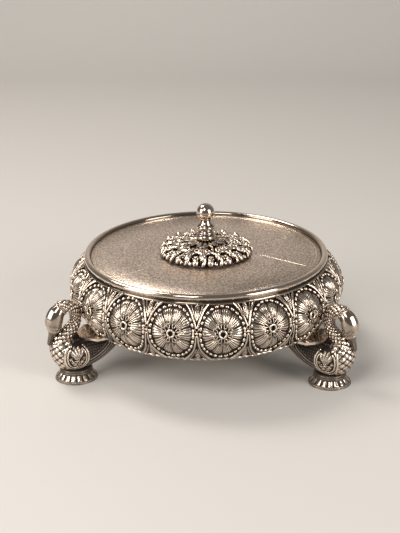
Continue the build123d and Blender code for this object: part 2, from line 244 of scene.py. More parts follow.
def polished(name, colours, rough=0.12, stain=0.25, clean_share=0.52, painted_reflection_share=0.5, with_wear_and_shade=True):
    """Polished silver with a painted reflection: darker where it faces the eye, brighter towards its outline,
    and stained where it isn't clean.
    """
    finish = Finish(name)
    stains = ((finish.noise(160, 4.0, 0.6) - clean_share) * 3.0).clipped()
    # Painted reflection: the base colour is darker where the surface faces the eye and brightest at its
    # outline, like a mirror of dark surroundings.
    painted_reflection = finish.mixed(finish.facing(), dimmed(colours.bright, painted_reflection_share), colours.bright)
    clean = finish.mixed(stains * stain, painted_reflection, dimmed(colours.bright, 0.35))
    finish.feed("Base Color", finish.mixed(finish.wear().clipped(), colours.dark, clean) if with_wear_and_shade else clean)
    finish.feed("Metallic", 1.0)
    finish.feed("Roughness", rough + stains * 0.15 + (finish.noise(700) - 0.5) * 0.06)
    finish.bump(finish.noise(260, 2.0), 0.05)
    return finish.material


def stippled(name, colours):
    """The lid's field, punched with fine dots between brighter lines."""
    finish = Finish(name)
    dots = finish.cells(560)
    cloud = finish.noise(38, 4.0, 0.6)
    line = finish.wear().clipped()
    grain = finish.noise(950, 2.0)
    shade = ((cloud - 0.35) * 0.5 + (dots - 0.35) * 1.6 + (grain - 0.5) * 3.0).clipped()
    field = finish.mixed(shade, colours.sheet, colours.bright)
    field = finish.mixed((1.0 - dots * 2.0).clipped() * 0.8, field, colours.dark)
    finish.feed("Base Color", finish.mixed(line, field, colours.bright))
    finish.feed("Metallic", 1.0)
    finish.feed("Roughness", (1.0 - line) * 0.16 + 0.18 + (cloud - 0.5) * 0.08)
    finish.bump(dots + grain * 0.6, 0.10)
    return finish.material


def brushed(name, shade, rough, scale=2400):
    """Plain metal with a fine grain."""
    finish = Finish(name)
    grain = finish.noise(scale, 2.0)
    cloud = finish.noise(60, 3.0)
    finish.feed("Base Color", finish.mixed(cloud, shade, dimmed(shade, 0.82)))
    finish.feed("Metallic", 1.0)
    finish.feed("Roughness", rough + (grain - 0.5) * 0.2)
    finish.bump(grain, 0.02)
    return finish.material


# Mesh helpers

def smooth_step(low, high, at):
    """Nought below low, one above high, and a soft rise between."""
    share = min(1.0, max(0.0, (at - low) / (high - low)))
    return share * share * (3 - 2 * share)


def through(stations, share):
    """The place at a share of the way along a smooth line through evenly counted stations."""
    last = len(stations) - 1
    at = min(max(share, 0.0), 1.0) * last
    first = min(int(at), last - 1)
    t = at - first
    four = [stations[min(max(first + step, 0), last)] for step in (-1, 0, 1, 2)]
    place = []
    for a, b, c, d in zip(*four):
        bend = (2 * a - 5 * b + 4 * c - d) * t * t
        twist = (3 * b - 3 * c + d - a) * t ** 3
        place.append(0.5 * (2 * b + (c - a) * t + bend + twist))
    return place


def turns(count, start=0.0):
    """Even turns round a circle, in radians."""
    return [2 * pi * (step + start) / count for step in range(count)]


def spoke(turn, reach=1.0, level=0.0):
    """The place at a turn round the upright axis, at a reach from it and at a level."""
    return Vector((reach * cos(turn), reach * sin(turn), level))


def new_mesh():
    """An empty mesh whose corners can hold their wear."""
    bm = bmesh.new()
    bm.verts.layers.float.new("wear")
    return bm


def rub(bm, verts, wear):
    """Sets the wear of corners, to one number or by a rule for a corner's place."""
    layer = bm.verts.layers.float["wear"]
    for vert in verts:
        vert[layer] = wear(vert.co) if callable(wear) else wear


def rubbed_top(rise):
    """The wear of a rounded form, from its foot (minus one) to its top (one)."""
    return min(1.0, max(0.0, 0.6 + 0.7 * rise))


def face_outwards(bm):
    """Turns the faces outwards, once corners have been moved and doubles merged."""
    bm.normal_update()
    bmesh.ops.recalc_face_normals(bm, faces=bm.faces)


def sculpt(bm, columns, rows, place, weld=False):
    """Adds a grid; place gives each corner's point and wear from its shares across and along."""
    layer = bm.verts.layers.float["wear"]
    verts = bmesh.ops.create_grid(bm, x_segments=columns, y_segments=rows, size=0.5)["verts"]
    for vert in verts:
        vert.co, vert[layer] = place(vert.co.x + 0.5, vert.co.y + 0.5)
    if weld:
        bmesh.ops.remove_doubles(bm, verts=verts, dist=0.002)
        face_outwards(bm)


def carve(bm, relief):
    """Moves each corner out along the skin by the height that relief gives for its place, with its wear."""
    layer = bm.verts.layers.float["wear"]
    bm.normal_update()
    moves = [(vert, vert.normal.copy(), *relief(vert.co)) for vert in bm.verts]
    for vert, normal, height, wear in moves:
        vert.co += normal * height
        vert[layer] = wear


def rope(bm, path, radius, sides=8, closed=False, flat=1.0, bright=1.0):
    """Adds a rounded wire along a path; radius may be a rule, and flat squeezes it towards the ground."""
    layer = bm.verts.layers.float["wear"]
    count = len(path)
    rows = count if closed else count - 1
    verts = bmesh.ops.create_grid(bm, x_segments=sides, y_segments=rows, size=0.5)["verts"]
    for vert in verts:
        turn = -2 * pi * (vert.co.x + 0.5)
        row = round((vert.co.y + 0.5) * rows)
        if closed:
            before, here, after = path[(row - 1) % count], path[row % count], path[(row + 1) % count]
        else:
            before, here, after = path[max(row - 1, 0)], path[row], path[min(row + 1, count - 1)]
        side = (after - before).cross(UP).normalized()
        thick = radius(row / rows) if callable(radius) else radius
        vert.co = here + thick * (cos(turn) * side + flat * sin(turn) * UP)
        vert[layer] = bright * rubbed_top(sin(turn))
    bmesh.ops.remove_doubles(bm, verts=verts, dist=0.002)


def tapered(thick, ends=0.12):
    """A radius that runs out to nothing at both ends of a wire."""
    return lambda share: thick * min(1.0, share / ends, (1 - share) / ends) ** 0.5 if 0 < share < 1 else 0.0


def arc(middle, radius, start, end, count, curl=0.0):
    """Points of an arc in the flat, in degrees, that curls inwards towards its ends."""
    points = []
    for step in range(count + 1):
        share = step / count
        angle = radians(start + (end - start) * share)
        reach = radius - curl * abs(2 * share - 1) ** 3
        points.append(middle + spoke(angle, reach))
    return points


def bead(bm, at, size, bright=1.0, detail=2):
    """Adds a bead, with its half sizes along the three axes; gives its corners."""
    layer = bm.verts.layers.float["wear"]
    at = Vector(at)
    made = bmesh.ops.create_icosphere(bm, subdivisions=detail, radius=1.0)["verts"]
    for vert in made:
        vert[layer] = bright * rubbed_top(vert.co.z)
        vert.co = at + Vector((vert.co.x * size[0], vert.co.y * size[1], vert.co.z * size[2]))
    return made


def flower(bm, at, size):
    """Adds a small flower: a heart and five petals round it."""
    plump = 0.42 * size
    bead(bm, at + UP * 0.3 * size, (plump, plump, plump), 1.0, 1)
    for turn in turns(5):
        bead(bm, at + spoke(turn, 0.72 * size), (plump, plump, 0.32 * size), 0.9, 1)


def turned(profile, steps, wear=1.0):
    """A mesh turned on the box's axis from pairs of a radius and a level."""
    bm = new_mesh()
    line = [bm.verts.new((radius, 0, level)) for radius, level in profile]
    edges = [bm.edges.new(pair) for pair in zip(line, line[1:])]
    bmesh.ops.spin(
        bm, geom=line + edges, cent=(0, 0, 0), axis=(0, 0, 1), angle=2 * pi, steps=steps, use_merge=True
    )
    bmesh.ops.remove_doubles(bm, verts=bm.verts, dist=0.002)
    face_outwards(bm)
    rub(bm, bm.verts, wear)
    return bm


def around(bm, count):
    """Repeats the whole mesh evenly round the box's axis and welds what meets."""
    bmesh.ops.spin(
        bm,
        geom=bm.verts[:] + bm.edges[:] + bm.faces[:],
        cent=(0, 0, 0),
        axis=(0, 0, 1),
        angle=2 * pi * (count - 1) / count,
        steps=count - 1,
        use_duplicate=True,
    )
    bmesh.ops.remove_doubles(bm, verts=bm.verts, dist=0.01)
    face_outwards(bm)


def finished(name, bm, material, body, slot, *nodes, turn=None, keep=False):
    """Turns a mesh into a piece in metres, hung on its body, that stands for CAD nodes."""
    mesh = bpy.data.meshes.new(name)
    bm.to_mesh(mesh)
    if not keep:
        bm.free()
    if turn is not None:
        mesh.transform(Matrix.Rotation(radians(turn), 4, "Z"))
    mesh.transform(Matrix.Scale(0.001, 4))
    mesh.shade_smooth()
    mesh.materials.append(material)
    piece = bpy.data.objects.new(name, mesh)
    bpy.context.scene.collection.objects.link(piece)
    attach(piece, body)
    if nodes:
        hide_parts(*nodes)
    return piece


def cad_box(node):
    """The lowest and highest corners of a CAD node, in millimetres."""
    low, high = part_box(node)
    return low * 1000, high * 1000


# Embossed wall: everything is laid out flat, across (x) and up (y) in millimetres, then wrapped

ROSETTES = 18
LOWER_TURN = radians(33.0)  # the wall's bend under its belly
EYE_RISE = 2.8  # from the belly up to a rosette's eye
REACH_UP = 21.9  # from the eye to the top of the bead ring
REACH_DOWN = 25.0  # from the eye to its bottom
BEADS = 28  # round a rosette
PETALS = 10
PETAL_REACH = 0.95  # share of the way to the bead ring
PETAL_NOTCH = 0.09  # how much shorter the reach is between two petals
TURNED_DOWN = 0.93  # share of the rows before the petals' edge turns down
FLUTES = 5  # in each petal
LOOPS = 8  # round a rosette's boss
HOLLOWS_AT = 0.345  # share of the reach where the loops lie
SKIN_DEPTH = 0.4  # how far the wall's ground lies under its belly radius


class Wall:
    """The wall's skin, as a place to wrap flat work on."""

    def __init__(self, sizes):
        self.belly = sizes.belly_radius * 1000
        self.level = sizes.belly_level * 1000
        self.upper = sizes.upper_bend * 1000
        self.lower = sizes.lower_bend * 1000
        self.half_width = sizes.rosette_width * 1000
        self.pitch = 2 * pi * self.belly / ROSETTES
        self.top = self.upper * asin((cad_box("bowl_wall")[1].z - self.level) / self.upper)
        drop = self.level - self.lower * sin(LOWER_TURN) - cad_box("bowl_wall")[0].z
        self.foot = -self.lower * LOWER_TURN - drop / cos(LOWER_TURN)

    def point(self, across, rise, out):
        """The point at a distance across, a rise along the skin from the belly, and a distance out of it."""
        bend = self.upper if rise > 0 else self.lower
        turn = max(rise / bend, -LOWER_TURN)
        rest = min(rise + self.lower * LOWER_TURN, 0.0)
        radius = self.belly - bend + (bend + out) * cos(turn) + rest * sin(LOWER_TURN)
        level = self.level + (bend + out) * sin(turn) + rest * cos(LOWER_TURN)
        return spoke(across / self.belly, radius, level)

    def wrap(self, bm):
        """Bend flat work onto the wall."""
        for vert in bm.verts:
            vert.co = self.point(*vert.co)

    def oval(self, turn, share):
        """A point of a rosette's oval in the flat, at a turn and a share of its reach."""
        reach = REACH_UP if sin(turn) > 0 else REACH_DOWN
        return share * self.half_width * cos(turn), EYE_RISE + share * reach * sin(turn)

    def ring(self, count):
        """Places evenly round a rosette's bead ring, each with the ring's direction there."""
        fine = [Vector((*self.oval(2 * pi * step / 720, 1.0), 0)) for step in range(721)]
        gone = [0.0]
        for first, second in zip(fine, fine[1:]):
            gone.append(gone[-1] + (second - first).length)
        places = []
        index = 0
        for step in range(count):
            while gone[index] < gone[-1] * (step + 0.5) / count:
                index += 1
            ahead = fine[index] - fine[index - 1]
            places.append((fine[index], atan2(ahead.y, ahead.x)))
        return places


def petals(across, along):
    """Turn, share of the reach, height and wear of a fluted flower, from shares round it and outwards; the
    wear also darkens the petals' turned-down edges as painted shade.
    """
    turn = 2 * pi * across + pi / 2
    petal = (across * PETALS) % 1.0
    side = abs(2 * petal - 1)
    edge = PETAL_REACH - PETAL_NOTCH * side ** 3
    far = edge * min(along / TURNED_DOWN, 1.0)
    out = far / edge
    flute = 0.5 - 0.5 * cos(2 * pi * FLUTES * petal)
    gap = smooth_step(0.98, 0.74, side)
    opened = smooth_step(0.26, 0.37, out)
    rounded = 1 - out ** 7
    arched = (1 - side ** 2.2) ** 0.5
    body = opened * (0.1 + (1.45 * arched + 0.7 * flute * (0.35 + 0.65 * gap)) * rounded)
    height = 0.85 * (1 - far * far) + body - 0.75
    # Black grooves and gaps are patina; the fall-off towards the turned-down edges (out ** 12) is painted
    # shade.
    wear = opened * gap * smooth_step(0.15, 0.65, flute + 0.08 * out) * (1 - 0.75 * out ** 12)
    loop = (across * LOOPS) % 1.0 - 0.5
    hollow = exp(-((loop / 0.17) ** 2) - ((far - HOLLOWS_AT) / 0.06) ** 2)
    height -= 0.8 * hollow
    wear *= 1 - hollow
    if along > 0.96:
        height, wear = -0.7, 0.0
    return turn, far, height, wear


def leaf_blade(foot, tip, width, lift):
    """A pointed leaf with a raised rib, laid from its foot to its tip."""
    run = tip - foot
    side = Vector((run.y, -run.x, 0)).normalized()

    def place(across, along):
        off = 2 * across - 1
        spread = 0.5 * width * sin(pi * min(0.985, along) ** 0.75) ** 0.8 * off
        vein = 0.5 + 0.5 * cos(6 * pi * (along + 0.35 * abs(off)))
        height = lift * (1 - abs(off) ** 1.5) * (0.75 + 0.25 * vein) * (1 - 0.5 * along ** 4) - 0.2 * lift
        wear = (1 - abs(off) ** 3) * (0.45 + 0.55 * vein)
        return foot + run * along + side * spread + UP * height, wear

    return place


class DRYFRUIT_OT_embossed_wall(bpy.types.Operator):
    """Make the embossed wall: rosettes, bead rings, ribs, knots and buds"""

    bl_idname = "dryfruit.embossed_wall"
    bl_label = "Embossed wall"

    def execute(self, context):
        wall = Wall(context.scene.dry_fruit_box)
        self.bead_size = context.scene.dry_fruit_box.bead_size * 1000
        colours = context.scene.dry_fruit_colours
        chased = oxidised("chased_silver", colours, 0.12, 0.98)
        wear_and_shade = oxidised("rubbed_silver", colours, 0.14, 0.97)
        pieces = (
            ("wall_skin", self.add_skin, chased, ("bowl_wall",)),
            ("wall_rosettes", self.add_petals, chased, ()),
            ("rosette_eyes_and_beads", self.add_eye_and_beads, wear_and_shade, ()),
            ("ribs_and_buds", self.add_ribs, wear_and_shade, ()),
        )
        for name, add, metal, nodes in pieces:
            bm = new_mesh()
            add(bm, wall)
            wall.wrap(bm)
            around(bm, ROSETTES)
            finished(name, bm, metal, "box", "oxidised_silver", *nodes)
        return {"FINISHED"}

    def add_skin(self, bm, wall):
        """The plain ground behind one rosette."""
        run = wall.top - wall.foot

        def ground(across, along):
            return Vector(((across - 0.5) * wall.pitch, wall.foot + along * run, -SKIN_DEPTH)), 0.0

        sculpt(bm, 20, 44, ground)

    def add_petals(self, bm, wall):
        """One rosette's petals."""

        def blossom(across, along):
            turn, far, height, wear = petals(across, along)
            return Vector((*wall.oval(turn, far), height)), wear

        sculpt(bm, 4 * FLUTES * PETALS, 20, blossom, weld=True)

    def add_eye_and_beads(self, bm, wall):
        """The rosette's boss, the small loops round it and its ring of long beads."""
        centre = Vector((0, EYE_RISE, 1.3))
        rope(bm, arc(centre + UP * 0.7, 2.65, 0, 345, 23), 0.82, 8, closed=True)
        for turn in turns(LOOPS, 0.5):
            way = spoke(turn)
            side = Vector((-way.y, way.x, 0))
            loop = []
            for angle in turns(14):
                width = 1.15 * (1 + 0.3 * cos(angle))
                loop.append(centre + way * (6.0 + 1.9 * cos(angle)) + side * width * sin(angle) - UP * 0.2)
            rope(bm, loop, 0.42, 6, closed=True, bright=0.85)
        size = self.bead_size
        for spot, tilt in wall.ring(BEADS):
            at = spot + UP * 0.3
            made = bead(bm, at, (1.65 * size, size, 1.1 * size))
            bmesh.ops.rotate(bm, verts=made, cent=at, matrix=Matrix.Rotation(tilt, 3, "Z"))

    def rib(self, bm, seam, hand, stations, out, radius, sides=8, bright=1.0):
        """A rib through stations across from the seam and up the wall."""
        path = []
        for step in range(21):
            x, y = through(stations, step / 20)
            path.append(Vector((seam + hand * x, y, out)))
        rope(bm, path, radius, sides, bright=bright)

    def add_ribs(self, bm, wall):
        """The ribs, bud, knot and leaf on the line between two rosettes."""
        seam = wall.pitch / 2
        arch = [(9.4, 26.2), (6.8, 23.0), (4.5, 19.0), (2.7, 14.5), (1.3, 10.0), (0.5, 7.5)]
        second = [(5.6, 26.4), (4.3, 23.4), (2.8, 19.4), (1.4, 14.8)]
        low = [(0.8, 1.0), (1.2, -5.0), (2.4, -11.0), (4.6, -17.0), (8.0, -22.5), (11.6, -26.6)]
        inner = [(0.6, -11.5), (1.6, -15.0), (3.2, -19.0), (5.4, -23.0), (8.0, -26.8)]
        for hand in (-1, 1):
            self.rib(bm, seam, hand, arch, 0.95, lambda share: 1.0 - 0.3 * share)
            self.rib(bm, seam, hand, second, 0.45, tapered(0.55), 6, 0.9)
            self.rib(bm, seam, hand, low, 0.5, lambda share: 0.6 + 0.65 * share, 8, 0.8)
            self.rib(bm, seam, hand, inner, 0.25, tapered(0.62), 6, 0.75)
            bead(bm, (seam + hand * 2.6, 3.2, 0.4), (1.15, 0.95, 1.0))
        bud = []
        for angle in turns(20):
            swell = 2.0 * sin(angle) * (0.6 + 0.4 * cos(angle))
            bud.append(Vector((seam + swell, 19.4 + 6.4 * cos(angle), 0.8)))
        rope(bm, bud, 0.5, 6, closed=True)
        rope(bm, [Vector((seam, 16.0 + 0.85 * step, 0.8)) for step in range(11)], tapered(0.5), 6)
        link = [Vector((seam + x, 6.4 + y, 0.5)) for x, y in ((1.7, 0), (0, 1.9), (-1.7, 0), (0, -1.9))]
        rope(bm, link, 0.4, 6, closed=True, bright=0.8)
        bead(bm, (seam, 3.2, 0.25), (1.3, 1.2, 1.2))
        bead(bm, (seam, 0.9, 0.5), (0.9, 0.9, 0.9))
        sculpt(bm, 8, 14, leaf_blade(Vector((seam, -28.2, 0.0)), Vector((seam, -13.8, 0.0)), 5.4, 1.2))


ROLL = 2.65  # radius of the rim's roll
STRIP_DROP = 2.2  # how far the rim's strip hangs under the CAD rim


class DRYFRUIT_OT_rim(bpy.types.Operator):
    """Make the rolled rim and the roped wire at the wall's foot"""

    bl_idname = "dryfruit.rim"
    bl_label = "Rim and border"

    def execute(self, context):
        colours = context.scene.dry_fruit_colours
        low, high = cad_box("rim_roll")
        lip = cad_box("lid_plate")[0].z
        outer = high.x
        inner = outer - 2 * ROLL
        seat = inner - 1.8
        profile = [(seat, low.z), (outer - 2.2, low.z), (outer - 1.6, low.z - STRIP_DROP + 0.1)]
        profile += [(outer - 0.3, low.z - STRIP_DROP), (outer + 0.3, low.z - 1.7), (outer + 0.5, low.z - 0.7)]
        profile += [(outer + 0.3, low.z + 0.3), (outer - 0.5, low.z + 0.8), (outer - 1.3, low.z + 1.0)]
        for step in range(15):
            turn = radians(-62 + 240 * step / 14)
            profile.append((outer - ROLL + ROLL * cos(turn), high.z - ROLL + ROLL * sin(turn)))
        profile += [(inner, lip), (inner, lip - 0.8), (seat, lip - 0.8), (seat, low.z)]

        # Painted shade: the groove under the roll, the strip hanging beneath it and the roll's inner side by
        # the lid are darkened.
        def wear_and_shade(at):
            inside = smooth_step(inner + 1.0, inner + 0.3, hypot(at.x, at.y))
            groove = exp(-(((at.z - low.z - 1.0) / 0.35) ** 2))
            roll = smooth_step(low.z + 0.9, low.z + 1.6, at.z)
            return (0.55 + 0.45 * roll) * (1 - groove) * (1 - 0.6 * inside)

        bm = turned(profile, 240, wear_and_shade)
        metal = polished("rim_polish", colours, 0.10, 0.35)
        finished("rolled_rim", bm, metal, "box", "polished_silver", "rim_roll")

        wall = Wall(context.scene.dry_fruit_box)
        base = cad_box("border_ring")[0]
        twists = 120
        foot = wall.point(0, wall.foot, 0)

        def place(across, along):
            turn = 2 * pi * across
            twist = 0.16 * cos(twists * 2 * pi * along + turn)
            reach = 1.05 + twist
            level = base.z + 1.15 + reach * sin(turn)
            radius = foot.x + 0.45 + reach * cos(turn)
            return spoke(2 * pi * along, radius, level), 0.75 + 1.5 * twist

        bm = new_mesh()
        sculpt(bm, 8, 8 * twists, place, weld=True)
        metal = oxidised("roped_wire", colours, 0.25)
        finished("border_wire", bm, metal, "box", "oxidised_silver", "border_ring")
        return {"FINISHED"}


class DRYFRUIT_OT_inner_pan(bpy.types.Operator):
    """Make the plain pan that holds the dividers"""

    bl_idname = "dryfruit.inner_pan"
    bl_label = "Inner pan"

    def execute(self, context):
        colours = context.scene.dry_fruit_colours
        low, high = cad_box("liner_pan")
        inside = cad_box("lid_ring")[1].x + 0.5
        sheet = 0.8
        floor = low.z + sheet
        profile = [(0, floor), (inside - 2.0, floor), (inside - 0.6, floor + 0.5), (inside, floor + 1.8)]
        profile += [(inside, high.z), (high.x, high.z), (high.x, high.z - sheet)]
        profile += [(inside + sheet, high.z - sheet), (inside + sheet, low.z + 1.6)]
        profile += [(inside, low.z + 0.4), (inside - 1.6, low.z), (0, low.z)]
        bm = turned(profile, 180)
        metal = brushed("pan_silver", colours.plain, 0.32)
        pan = finished("inner_pan", bm, metal, "box", "plain_silver", "liner_pan")
        bevel = pan.modifiers.new("edges", "BEVEL")
        bevel.width = 0.0002
        bevel.segments = 2
        return {"FINISHED"}


# Radius and half thickness of the round lines, then both ends of each straight one as a radius and a turn
LID_RINGS = ((93.7, 0.45), (91.4, 0.16))
LID_LINES = (
    ((57, 128), (86, 128)),
    ((55, 221), (93, 221)),
    ((90, 212), (43, 193)),
    ((42, 357), (93, 340)),
    ((44, 21), (85, 29)),
)


class DRYFRUIT_OT_lid(bpy.types.Operator):
    """Make the lid's stippled sheet with its fine raised lines"""

    bl_idname = "dryfruit.lid"
    bl_label = "Lid sheet"

    def execute(self, context):
        colours = context.scene.dry_fruit_colours
        low, high = cad_box("lid_plate")
        edge = high.x
        hole = 2.6
        rounding = 0.35
        skin = [(hole, high.z), (60, high.z), (edge - rounding, high.z), (edge, high.z - rounding)]
        skin += [(edge, low.z), (hole, low.z)]
        bm = turned(skin, 240, 0.0)
        for radius, thick in LID_RINGS:
            rope(bm, arc(Vector((0, 0, high.z)), radius, 0, 358.5, 239), thick, 6, closed=True, flat=0.8)
        for ends in LID_LINES:
            start, end = (spoke(radians(turn), radius, high.z) for radius, turn in ends)
            rope(bm, [start.lerp(end, step / 12) for step in range(13)], tapered(0.22), 6, flat=0.6)
        finished("lid_sheet", bm, stippled("lid_stipple", colours), "lid", "lid_silver", "lid_plate")
        return {"FINISHED"}


MODULES = 8  # how often the pierced rosette repeats
SIDE_TURN = 11.4  # degrees from a spine to the flowers beside it
SPRAYS = 72


class DRYFRUIT_OT_filigree(bpy.types.Operator):
    """Make the pierced rosette of leaves, scrolls and flowers round the knob"""

    bl_idname = "dryfruit.filigree"
    bl_label = "Pierced rosette"

    def execute(self, context):
        colours = context.scene.dry_fruit_colours
        low, high = cad_box("filigree_rosette")
        self.reach = context.scene.dry_fruit_box.filigree_radius * 1000
        self.base = low.z
        self.rise = high.z - low.z
        # Painted shade: a dark dome under the pierced rosette fills its openings with black in place of the
        # shaded lid beneath.
        profile = [(step * 2.4, max(self.dome(step * 2.4) - 3.0, low.z + 0.05)) for step in range(1, 15)]
        profile.append((34.2, low.z))
        bm = turned(profile, 96, 0.0)
        finished("filigree_shade_dome", bm, oxidised("painted_shade_ground", colours, 0.4), "lid", "oxidised_silver")

        bm = new_mesh()
        self.add_module(bm)
        around(bm, MODULES)
        self.add_sprays(bm)
        for vert in bm.verts:
            vert.co.z += self.dome(hypot(vert.co.x, vert.co.y))
            vert.co.z = min(max(vert.co.z, low.z + 0.02), high.z + 0.7)
        metal = oxidised("filigree_silver", colours, 0.17)
        finished("filigree_scrolls", bm, metal, "lid", "oxidised_silver", "filigree_rosette")
        return {"FINISHED"}

    def dome(self, radius):
        """The level of the rosette's dome at a radius."""
        share = min(radius / self.reach, 1.0)
        return self.base + 1.5 + (self.rise - 3.2) * (1 - share ** 2.3)

    def add_module(self, bm):
        """One eighth: leaf spines, arches over flowers, and a lobed edge."""
        still = Matrix.Identity(3)
        half = Matrix.Rotation(pi / MODULES, 3, "Z")
        for spin, foot, tip, width, lift in (
            (still, 17.0, 35.0, 5.2, 2.2),
            (still, 6.5, 15.5, 4.0, 1.5),
            (half, 6.5, 19.0, 4.2, 1.6),
            (half, 25.0, 35.5, 4.4, 1.8),
        ):
            start, end = spin @ Vector((foot, 0, 0.9)), spin @ Vector((tip, 0, 1.0))
            sculpt(bm, 6, 16, leaf_blade(start, end, width, lift))
        lobe = [(32.5, 0, 1.4), (35.6, 0.3, 3.2), (37.5, 0.2, 1.8), (37.6, 0, -0.2)]
        for spin in (still, half):
            rope(bm, [spin @ Vector(through(lobe, step / 14)) for step in range(15)], tapered(2.6), 8)
        for hand in (-1, 1):
            turn = Matrix.Rotation(radians(hand * SIDE_TURN), 3, "Z")
            for middle, size, start, end, thick, curl, lift in (
                (31.6, 5.2, 62, 298, 1.15, 0.6, 2.2),
                (22.6, 3.4, 200, 500, 0.85, 1.4, 1.9),
            ):
                path = [turn @ point for point in arc(Vector((middle, 0, lift)), size, start, end, 24, curl)]
                rope(bm, path, tapered(thick, 0.06), 8)
            flower(bm, turn @ Vector((32.4, 0, 1.2)), 2.7)
            bead(bm, turn @ Vector((22.8, 0, 1.2)), (1.2, 1.2, 1.2))
            for off, size in ((-1.4, 2.9), (5.2, 1.5)):
                at = spoke(radians(hand * (SIDE_TURN + off)), self.reach - size, 0.7)
                bead(bm, at, (size, size, size))

    def add_sprays(self, bm):
        """Small leaves and flowers strewn between the spines, each leaning its own way."""
        chance = Random(7)
        for step in range(SPRAYS):
            turn = 2 * pi * (step + chance.uniform(-0.3, 0.3)) / SPRAYS
            radius = (13.0, 19.5, 26.5)[step % 3] + chance.uniform(-1.8, 1.8)
            foot = spoke(turn, radius, chance.uniform(0.3, 1.2))
            lean = turn + chance.uniform(-1.5, 1.5)
            tip = foot + chance.uniform(5.0, 7.5) * spoke(lean, 1.0, 0.15)
            if step % 4 == 0:
                flower(bm, foot + UP * 0.8, chance.uniform(1.4, 1.9))
            else:
                sculpt(bm, 4, 8, leaf_blade(foot, tip, 3.2, 1.8))


BALL = 7.6  # radius of the knob's ball
# The knob's rings and neck from its foot up: radius, and height over the pierced rosette
KNOB_SHAPE = [
    (5.4, 0.0), (7.0, 0.4), (8.0, 1.4), (8.3, 2.8), (7.9, 4.1), (6.7, 5.0), (6.2, 5.4), (6.8, 5.9),
    (7.1, 6.6), (6.7, 7.3), (5.6, 8.0), (5.5, 8.8), (6.3, 9.6), (7.4, 10.4), (7.7, 11.4), (7.4, 12.3),
    (6.5, 13.0), (5.8, 13.6), (5.7, 14.2), (5.1, 15.2), (4.4, 16.3), (4.2, 17.3),
]
KNOB_GROOVES = (5.3, 8.4, 13.4, 17.4)


class DRYFRUIT_OT_knob(bpy.types.Operator):
    """Make the polished turned knob with its stud"""

    bl_idname = "dryfruit.knob"
    bl_label = "Knob"

    def execute(self, context):
        low, high = cad_box("knob")
        base = cad_box("filigree_rosette")[1].z
        stud = 2.3
        profile = [(0, low.z), (stud, low.z), (stud, base - 1.2), (5.0, base - 1.2)]
        profile += [(radius, base + level) for radius, level in KNOB_SHAPE]
        for step in range(17):
            turn = radians(-58 + 148 * step / 16)
            profile.append((BALL * cos(turn), high.z - BALL + BALL * sin(turn)))

        def wear_and_shade(at):
            level = at.z - base
            grooves = sum(exp(-(((level - groove) / 0.45) ** 2)) for groove in KNOB_GROOVES)
            return 1 - 0.8 * min(1.0, grooves)

        bm = turned(profile, 96, wear_and_shade)
        metal = polished("knob_polish", context.scene.dry_fruit_colours, 0.07, 0.12)
        finished("turned_knob", bm, metal, "lid", "polished_silver", "knob")
        return {"FINISHED"}


# Swan legs, worked out along +X with x as the distance from the box's axis, then turned to each leg

# The body from its breast to its tail: reach, half width, lowest and highest level
BODY = [
    (142.8, 0.0, 27.4, 27.6),
    (142.2, 3.6, 24.0, 31.0),
    (140.3, 8.4, 18.8, 35.0),
    (136.4, 12.4, 12.8, 38.4),
    (130.4, 14.7, 9.4, 40.0),
    (123.0, 15.8, 8.4, 40.2),
    (115.0, 15.6, 9.2, 39.6),
    (107.5, 15.2, 11.4, 39.0),
    (101.0, 14.8, 14.6, 39.0),
    (94.5, 14.0, 18.8, 39.0),
    (88.0, 12.4, 24.4, 39.0),
    (82.6, 9.0, 31.0, 38.0),
    (82.4, 0.0, 35.0, 35.2),
]
COLLAR_AT = Vector((131.3, 0, 64.1))
COLLAR_SLOPE = -38.5
COLLAR_WAY = Vector((cos(radians(COLLAR_SLOPE)), 0, sin(radians(COLLAR_SLOPE))))
NECK_END = COLLAR_AT - 1.2 * COLLAR_WAY
HEAD_START = COLLAR_AT + 1.2 * COLLAR_WAY
# The neck, and then the head: reach, level, half thickness, half width and slope in degrees
NECK = [
    (137.0, 32.5, 6.4, 7.6, 128),
    (133.2, 37.6, 6.2, 7.2, 136),
    (127.6, 41.7, 5.5, 6.4, 143),
    (123.0, 46.0, 4.8, 5.7, 128),
    (120.3, 50.8, 4.4, 5.2, 100),
    (120.2, 55.8, 4.4, 5.2, 76),
    (121.4, 60.2, 4.9, 5.4, 48),
    (124.8, 63.9, 5.3, 5.6, 4),
    (NECK_END.x, NECK_END.z, 5.7, 5.9, COLLAR_SLOPE),
]
HEAD = [
    (HEAD_START.x, HEAD_START.z, 5.6, 5.8, COLLAR_SLOPE),
    (135.8, 60.0, 6.6, 6.9, -54),
    (138.0, 54.6, 7.1, 7.2, -73),
    (138.8, 49.2, 6.2, 6.4, -80),
    (139.8, 44.8, 4.3, 4.8, -73),
    (141.3, 41.2, 2.6, 3.7, -67),
    (142.9, 37.4, 1.8, 3.2, -70),
    (144.0, 34.0, 1.2, 2.4, -72),
    (144.3, 33.0, 0.0, 0.0, -72),
]
SADDLE = 119.0  # reach under which the back is cut flat for the tail plate
SCALES = 8  # round the neck
WING_AT = Vector((125.6, 24.3, 0))
WING_WIDE = 10.4
WING_LONG = 12.9
EYE_AT = (139.2, 6.35, 51.4)
COLLAR_DOTS = 18
TONGUES = 18  # round the foot
FOOT_BEADS = 54


def scale(first, second):
    """Height and wear of pillowed diamond scales with a dot on each, from two slanting counts."""
    a, b = first % 1.0, second % 1.0
    pillow = (16 * a * (1 - a) * b * (1 - b)) ** 0.5
    dot = exp(-((a - 0.5) ** 2 + (b - 0.5) ** 2) / 0.014)
    return pillow + 0.35 * dot, smooth_step(0.28, 0.72, pillow)


